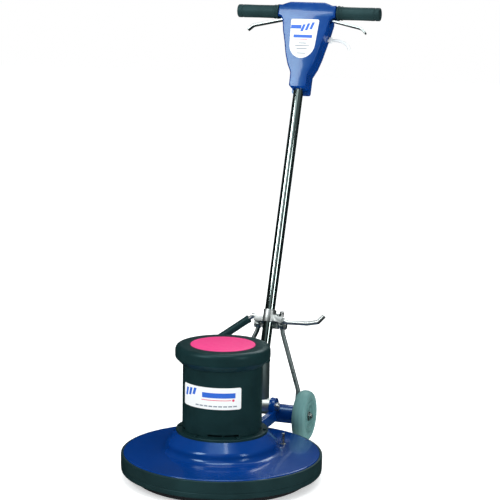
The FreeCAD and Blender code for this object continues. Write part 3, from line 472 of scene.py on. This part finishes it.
def wrapped(name, outline, radius, thickness, material, replaced=()):
    """A flat (arc length, z) outline wrapped on the motor drum, arc measured from the front."""
    bm = bmesh.new()
    lefts = [x for x, _ in outline]
    columns = 40
    step = (max(lefts) - min(lefts)) / columns
    bm.faces.new([bm.verts.new((x, z, 0)) for x, z in outline])
    for column in range(1, columns):
        geometry = list(bm.verts) + list(bm.edges) + list(bm.faces)
        bmesh.ops.bisect_plane(bm, geom=geometry, dist=1e-6,
                               plane_co=(min(lefts) + step * column, 0, 0), plane_no=(1, 0, 0))
    grown = bmesh.ops.extrude_face_region(bm, geom=list(bm.faces))
    for item in grown["geom"]:
        if isinstance(item, bmesh.types.BMVert):
            item.co.z = thickness
    for vertex in bm.verts:
        angle = vertex.co.x / radius
        reach = radius + vertex.co.z
        vertex.co = Vector((reach * math.sin(angle), -reach * math.cos(angle), vertex.co.y)) * MM
    return piece(name, mesh_from(bm, name), "chassis", material, replaced)


def bar(left, right, low, high, slant=0.0):
    """Corners of a printed bar, its top shifted by slant."""
    return [(left, low), (right, low), (right + slant, high), (left + slant, high)]


def ellipse(x, z, across, up, corners=24):
    """Corners of a printed dot."""
    angles = [2 * math.pi * number / corners for number in range(corners)]
    return [(x + across * math.cos(angle), z + up * math.sin(angle)) for angle in angles]


def make_cover_label():
    """The drum's label: rounded film with a plain striped device and rows of grey bars."""
    low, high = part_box("cover_label")
    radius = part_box("motor_cover")[1].x / MM
    bottom, top = low.z / MM, high.z / MM
    half = radius * LABEL_ARC / 2
    film_outline = rounded([(-half, bottom), (half, bottom), (half, top), (-half, top)],
                           {0: 5, 1: 5, 2: 5, 3: 5}, 6)
    wrapped("cover_label_film", film_outline, radius, LABEL_THICKNESS,
            MATERIALS["label_film"], ("cover_label",))
    face = radius + LABEL_THICKNESS
    for number in range(3):
        left = -half + 7 + number * 13
        outline = bar(left, left + 8, top - 27 + number * 3, top - 8 + number * 1.5, 5)
        wrapped(f"cover_label_slash_{number + 1}", outline, face, PRINT_THICKNESS, PRINT_BLUE)
    wrapped("cover_label_band", bar(-16, half - 14, top - 24, top - 12), face,
            PRINT_THICKNESS, PRINT_BLUE)
    wrapped("cover_label_line", bar(-18, half - 24, top - 30, top - 28.4), face,
            PRINT_THICKNESS, PRINT_RED)
    wrapped("cover_label_dot", ellipse(half - 19, top - 29.2, 3, 3), face, PRINT_THICKNESS, PRINT_RED)
    for number in range(9):
        left = -34 + number * 11.5
        wrapped(f"cover_label_mark_{number + 1}", bar(left, left + 9, bottom + 6, bottom + 9), face,
                PRINT_THICKNESS, PRINT_GREY)


make_cap()
make_cover_label()


# ---------------------------------------------------------------- wheels and axle

def make_wheel(side_name, side):
    """A grey tyre and its hub; gives their place and width, for the axle's ends."""
    low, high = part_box(f"tyre_{side_name}")
    radius = (high.z - low.z) / 2 / MM
    width = (high.x - low.x) / MM
    inner_face = low.x if side > 0 else high.x
    middle = (high + low) / 2
    place = Matrix.Translation((inner_face, middle.y, middle.z)) @ (TO_X if side > 0 else TO_MINUS_X)
    tyre = rounded([
        (HUB_RADIUS, 0.5), (54, 0), (radius - 4, 2), (radius, 11), (radius, width - 11),
        (radius - 4, width - 2), (54, width), (48, width - 1.5), (HUB_RADIUS, width - 1)],
        {1: 3, 2: 9, 3: 8, 4: 8, 5: 9, 6: 3, 7: 1}, 6)
    body = f"wheel_{side_name}"
    piece(f"tyre_ring_{side_name}", lathe("tyre_ring", tyre, place), body,
          MATERIALS["grey_tyre"], (f"tyre_{side_name}",))
    face = width - 1
    hub = rounded([
        (HUB_BORE, 1), (16, 1), (18, 3), (30, 3), (32, 1), (HUB_RADIUS, 1), (HUB_RADIUS, face),
        (41, face), (39.5, face - 1.6), (37, face - 1.6), (35.5, face), (29, face), (26, face - 6),
        (14, face - 6), (13, face - 3.6), (HUB_BORE, face - 3.6)],
        {7: 0.6, 8: 0.6, 9: 0.6, 10: 0.6, 11: 2, 12: 2, 13: 1, 14: 1}, 4)
    piece(f"hub_{side_name}", lathe("hub", hub, place, 96), body, MATERIALS["grey_hub"],
          (f"wheel_hub_{side_name}",))
    return place, width


def make_axle_ends(places):
    """A washer and a domed hexagon nut on each end of the axle."""
    for number, (side_name, (place, width)) in enumerate(places.items()):
        washer = lathe("axle_washer", rounded([(HUB_BORE, width - 4.4), (12, width - 4.4),
                                               (12, width - 3), (HUB_BORE, width - 3)],
                                              {2: 0.6}), place, 48)
        replaced = ("axle_nuts",) if number == 0 else ()
        piece(f"axle_washer_{side_name}", washer, "chassis",
              MATERIALS["bright_steel"], replaced)
        hex_nut(f"axle_nut_{side_name}", 15, 5, place @ at(0, 0, width - 3), "chassis", 4.5)


wheel_places = {side_name: make_wheel(side_name, side) for side_name, side in SIDES.items()}
make_axle_ends(wheel_places)


# ---------------------------------------------------------------- tube and grips

def make_tube():
    """The plated handle tube."""
    outline = rounded([(TUBE_BORE, 16), (TUBE_RADIUS, 16), (TUBE_RADIUS, 880), (TUBE_BORE, 880)],
                      {1: 0.6, 2: 0.6}, 3)
    piece("chrome_tube", lathe("chrome_tube", outline, HANDLE, 96), "handle",
          MATERIALS["chrome_tube"], ("handle_tube",))


def make_grip(side_name, side):
    """A rubber grip: flanged root, ribbed collar, long barrel and a ringed end."""
    outline = rounded([
        (11.2, 0), (19, 0), (19.5, 4.5), (17.2, 6.5), (17.2, 9), (18.2, 10), (18.2, 13), (17, 14.5),
        (16.6, 60), (17, 98), (16, 99.2), (16, 101), (17, 102.2), (16.9, 113), (11, 113.5), (0, 113.5),
        (0, 108.6), (11.2, 108.6)],
        {1: 2, 2: 2, 3: 1, 4: 1, 5: 1, 6: 1, 7: 1, 9: 0.8, 10: 0.5, 11: 0.5, 12: 0.8, 13: 3.5}, 5)
    place = HANDLE @ at(side * GRIP_START, 0, GRIP_HEIGHT) @ (TO_X if side > 0 else TO_MINUS_X)
    piece(f"rubber_grip_{side_name}", lathe("rubber_grip", outline, place, 96), "handle",
          MATERIALS["grip_rubber"], (f"grip_{side_name}",))


make_tube()
for side_name, side in SIDES.items():
    make_grip(side_name, side)


# ---------------------------------------------------------------- head castings

def carve(mesh, boxes):
    """Cut boxes, given as low and high corners in handle millimetres, out of a mesh."""
    target = bpy.data.objects.new("carve_target", mesh)
    bpy.context.scene.collection.objects.link(target)
    cutters = []
    for low, high in boxes:
        bm = bmesh.new()
        bmesh.ops.create_cube(bm, size=1.0)
        low, high = Vector(low) * MM, Vector(high) * MM
        bmesh.ops.scale(bm, verts=bm.verts, vec=high - low)
        bmesh.ops.translate(bm, verts=bm.verts, vec=(high + low) / 2)
        bm.transform(HANDLE)
        shape = bpy.data.meshes.new("cutter")
        bm.to_mesh(shape)
        bm.free()
        cutter = bpy.data.objects.new("cutter", shape)
        bpy.context.scene.collection.objects.link(cutter)
        modifier = target.modifiers.new("cut", "BOOLEAN")
        modifier.operation = "DIFFERENCE"
        modifier.solver = "EXACT"
        modifier.object = cutter
        cutters.append(cutter)
    graph = bpy.context.evaluated_depsgraph_get()
    result = bpy.data.meshes.new_from_object(target.evaluated_get(graph))
    for item in cutters + [target]:
        bpy.data.objects.remove(item)
    return result


HEAD_HALF = [(46, 1045), (58, 1041), (68, 1037), (77, 1037.5), (77, 1007.5), (69, 1006), (63, 997),
             (57.5, 966), (50, 938), (43, 906), (34, 878), (25, 860), (23, 854), (22.5, 822), (17, 816)]
HEAD_ROUNDING = {0: 12, 1: 12, 2: 8, 5: 7, 6: 9, 7: 60, 8: 60, 9: 60, 10: 60, 11: 30, 12: 14, 13: 4}


def whole(half, radii):
    """A left-right symmetric outline from its right half, with its corners rounded."""
    count = len(half)
    points = half + [(-x, z) for x, z in reversed(half)]
    both = dict(radii)
    both.update({2 * count - 1 - number: radius for number, radius in radii.items()})
    return rounded(points, both, 6)


def make_head():
    """The front casting: one blended form from the grip collars down to the neck."""
    mesh = prism("head_front", whole(HEAD_HALF, HEAD_ROUNDING), HEAD_FRONT, HEAD_BACK, HANDLE, 6.0, True)
    slots = [((44, -7.6, 992), (76, 7.6, 1009)), ((-76, -7.6, 992), (-44, 7.6, 1009)),
             ((-18.5, -7.5, 1036), (21.5, 7.5, 1050))]
    mesh = carve(mesh, slots)
    piece("head_front", mesh, "handle", MATERIALS["blue_enamel"], ("head_casting",))


make_head()


# ---------------------------------------------------------------- head decal

def on_face(name, outline, lift, material, replaced=()):
    """A flat print on the head's front face; lift is how far it stands out of it."""
    mesh = prism(name, outline, HEAD_FRONT - lift, HEAD_FRONT - lift + 0.3, HANDLE)
    return piece(name, mesh, "handle", material, replaced)


def make_head_decal():
    """The head's label: round-ended film with plain bars, slashes and rows."""
    top = 998
    edge = [(-38, top), (38, top), (34.5, top - 62)]
    middle = Vector((0, top - 66))
    for step in range(25):
        angle = math.pi * step / 24
        edge.append((middle.x + 34 * math.cos(angle), middle.y - 38 * math.sin(angle)))
    edge.append((-34.5, top - 62))
    outline = rounded(edge, {0: 5, 1: 5}, 6)
    on_face("head_decal_film", outline, DECAL_LIFT, MATERIALS["label_film"], ("head_decal",))
    on_face("head_decal_band", bar(-36, -8, top - 26, top - 16), DECAL_PRINT_LIFT, PRINT_BLUE)
    for number in range(3):
        left = -10 + number * 12
        low = top - 33 + number * 3
        on_face(f"head_decal_slash_{number + 1}", bar(left, left + 7, low, low + 19, 6),
                DECAL_PRINT_LIFT, PRINT_BLUE)
    on_face("head_decal_title", bar(-26, 24, top - 50, top - 42), DECAL_PRINT_LIFT, PRINT_BLUE)
    on_face("head_decal_line", bar(-26, 12, top - 55, top - 53.6), DECAL_PRINT_LIFT, PRINT_RED)
    for number, (half, drop) in enumerate(((10, 63), (19, 70), (14, 78), (11, 90))):
        on_face(f"head_decal_row_{number + 1}", bar(-half, half, top - drop - 2.4, top - drop),
                DECAL_PRINT_LIFT, PRINT_GREY)


make_head_decal()


# ---------------------------------------------------------------- softened castings and levers

SOFT_EDGES = {
    "height_clamp": 1.6, "rear_truck": 2.5, "handle_foot": 1.2, "interlock_button": 1.2,
    "head_back_cover": 2.0, "head_rear_casting": 1.5, "brace_left": 0.8, "brace_right": 0.8,
    "lock_lever": 1.0, "capacitor_lid": 1.5, "capacitor_box": 1.2, "truck_bolts": 0.8,
    "head_screws": 0.6, "cord_gland": 0.6, "feed_nipple": 0.7, "lift_grip_core": 0.8,
}
for node_name, edge_width in SOFT_EDGES.items():
    softened(node_name, edge_width)
softened("deck_screws", 0.6, MATERIALS["black_plastic"])


def make_switch_lever(side_name, side):
    """A switch lever: a rounded pressed blade over the CAD bar, with a bent-down tip."""
    course = [(46, 1001), (66, 1001.6), (146, 983.6), (160, 971)]
    upper = [(x, z + LEVER_HALF_HEIGHT) for x, z in course]
    lower = [(x - 1.5, z - LEVER_HALF_HEIGHT) for x, z in course]
    outline = rounded([(side * x, z) for x, z in upper + lower[::-1]],
                      {0: 2.5, 1: 8, 2: 10, 3: 2.4, 4: 2.4, 5: 12, 6: 9, 7: 2.5}, 5)
    blade = prism(f"lever_{side_name}_blade", outline, -LEVER_HALF_WIDTH, LEVER_HALF_WIDTH, HANDLE, 1.2)
    piece(f"lever_{side_name}_blade", blade, f"lever_{side_name}",
          MATERIALS["lever_steel"], (f"switch_lever_{side_name}",))


def make_pin_nuts():
    """Hexagon heads and nuts on the hinge pin and on the braces' cross bolt."""
    hinge = Vector(JOINTS["handle_tilt"]["pos_m"]) / MM
    for side_name, side in SIDES.items():
        turn = TO_X if side > 0 else TO_MINUS_X
        hex_nut(f"hinge_nut_{side_name}", 18, 6, at(side * 49.2, hinge.y, hinge.z) @ turn, "chassis", 6)
        hex_nut(f"cross_nut_{side_name}", 15, 3.6, HANDLE @ at(side * 38.2, 21.5, 204.8) @ turn, "clamp")


def make_lift_sleeve():
    """The black vinyl sleeve of the lift grip, with rounded lips."""
    turn = Matrix.Rotation(math.radians(-128), 4, "Y")
    place = HANDLE @ at(-41, 0, 222) @ turn @ at(0, 0, 13)
    outline = rounded([(5.05, 0), (10.2, 0), (10.2, 5), (9.6, 6), (9.6, 106), (10.2, 107), (10.2, 112),
                       (5.05, 112)], {1: 2, 2: 1, 3: 1, 4: 1, 5: 1, 6: 3}, 5)
    piece("lift_sleeve", lathe("lift_sleeve", outline, place, 64), "clamp",
          MATERIALS["bumper_rubber"], ("lift_grip_sleeve",))


for side_name, side in SIDES.items():
    make_switch_lever(side_name, side)
make_pin_nuts()
make_lift_sleeve()
coil("lock_spring", 5.2, 0.9, 2.4, 5, HANDLE @ at(33, 0, 226), "clamp")


# ---------------------------------------------------------------- stage, lights and camera

def make_floor():
    """The pale floor, which is no part of the machine."""
    bm = bmesh.new()
    bmesh.ops.create_grid(bm, x_segments=1, y_segments=1, size=12)
    mesh = bpy.data.meshes.new("floor")
    bm.to_mesh(mesh)
    bm.free()
    item = bpy.data.objects.new("floor", mesh)
    bpy.context.scene.collection.objects.link(item)
    material, tree, shader = new_material("pale_floor")
    color_from(tree, shader, noise(tree, 2), (0.93, 0.94, 0.94), 0.01)
    socket(shader, "Roughness", 0.7)
    socket(shader, "Emission Color", (1, 1, 1, 1))
    socket(shader, "Emission Strength", 0.45)
    mesh.materials.append(material)
    item.visible_glossy = False


def area_light(name, place, target, size, power):
    """A soft rectangular light turned to its target."""
    light = bpy.data.lights.new(name, "AREA")
    light.shape = "RECTANGLE"
    light.size, light.size_y = size
    light.energy = power
    item = bpy.data.objects.new(name, light)
    item.location = place
    item.rotation_euler = (Vector(target) - Vector(place)).to_track_quat("-Z", "Y").to_euler()
    bpy.context.scene.collection.objects.link(item)


def make_world():
    """White studio: even soft light, a white backdrop and a darker room in the reflections."""
    world = bpy.data.worlds.new("studio")
    bpy.context.scene.world = world
    world.use_nodes = True
    tree = world.node_tree
    output = tree.nodes["World Output"]
    tree.nodes.remove(tree.nodes["Background"])

    def background(color, strength):
        node = tree.nodes.new("ShaderNodeBackground")
        node.inputs["Color"].default_value = color
        node.inputs["Strength"].default_value = strength
        return node

    def mix(factor, first, second):
        node = tree.nodes.new("ShaderNodeMixShader")
        tree.links.new(factor, node.inputs[0])
        tree.links.new(first.outputs[0], node.inputs[1])
        tree.links.new(second.outputs[0], node.inputs[2])
        return node

    place = tree.nodes.new("ShaderNodeTexCoord")
    split = tree.nodes.new("ShaderNodeSeparateXYZ")
    bands = tree.nodes.new("ShaderNodeValToRGB")
    stops = bands.color_ramp.elements
    stops[0].position, stops[0].color = 0.0, (0.03, 0.04, 0.04, 1)
    stops[1].position, stops[1].color = 1.0, (0.85, 0.88, 0.9, 1)
    for position, color in ((0.16, (0.03, 0.045, 0.045, 1)), (0.34, (0.1, 0.12, 0.12, 1)),
                            (0.62, (0.5, 0.54, 0.55, 1))):
        stops.new(position).color = color
    tree.links.new(place.outputs["Generated"], split.inputs[0])
    tree.links.new(split.outputs["Z"], bands.inputs["Fac"])
    room = background((1, 1, 1, 1), 0.9)
    panels = tree.nodes.new("ShaderNodeValToRGB")
    walls = panels.color_ramp.elements
    walls[0].position, walls[0].color = 0.0, (0.12, 0.14, 0.14, 1)
    walls[1].position, walls[1].color = 1.0, (0.35, 0.38, 0.38, 1)
    for position, color in ((0.3, (0.05, 0.07, 0.07, 1)), (0.42, (0.9, 0.95, 0.95, 1)),
                            (0.6, (1, 1, 1, 1)), (0.72, (0.08, 0.1, 0.1, 1))):
        walls.new(position).color = color
    spread = tree.nodes.new("ShaderNodeMapRange")
    spread.inputs["From Min"].default_value = -1.0
    tree.links.new(split.outputs["X"], spread.inputs["Value"])
    tree.links.new(spread.outputs["Result"], panels.inputs["Fac"])
    shade = tree.nodes.new("ShaderNodeVectorMath")
    shade.operation = "MULTIPLY"
    tree.links.new(bands.outputs["Color"], shade.inputs[0])
    tree.links.new(panels.outputs["Color"], shade.inputs[1])
    tree.links.new(shade.outputs["Vector"], room.inputs["Color"])
    paths = tree.nodes.new("ShaderNodeLightPath")
    lit = mix(paths.outputs["Is Glossy Ray"], background((0.96, 0.99, 1, 1), 0.72), room)
    final = mix(paths.outputs["Is Camera Ray"], lit, background((1, 1, 1, 1), 1.0))
    tree.links.new(final.outputs[0], output.inputs["Surface"])
    bpy.context.scene.view_settings.view_transform = "Standard"


def make_camera():
    """The view: from the front right, a little above the handle, looking 10 degrees down."""
    heading = math.radians(19.145)
    pitch = math.radians(10.127)
    roll = math.radians(0.88)
    forward = Vector((-math.sin(heading) * math.cos(pitch), math.cos(heading) * math.cos(pitch),
                      -math.sin(pitch)))
    level = Vector((math.cos(heading), math.sin(heading), 0))
    upright = level.cross(forward)
    right = level * math.cos(roll) + upright * math.sin(roll)
    above = upright * math.cos(roll) - level * math.sin(roll)
    camera = bpy.data.cameras.new("camera")
    camera.lens = 122.44
    item = bpy.data.objects.new("camera", camera)
    item.matrix_world = Matrix((right, above, -forward)).transposed().to_4x4()
    item.matrix_world.translation = Vector((1.3223, -3.6276, 1.2320))
    bpy.context.scene.collection.objects.link(item)
    bpy.context.scene.camera = item


make_floor()
make_world()
make_camera()
area_light("key", (-1.6, -2.4, 2.6), (0, 0, 0.4), (1.1, 1.6), 44)
area_light("fill", (2.9, -1.2, 1.5), (0, 0, 0.5), (0.6, 2.0), 16)
area_light("back", (0.4, 2.8, 2.6), (0, 0.2, 0.6), (2.6, 1.0), 26)
area_light("top", (0.0, -0.4, 3.2), (0, 0, 0.3), (1.6, 1.0), 24)
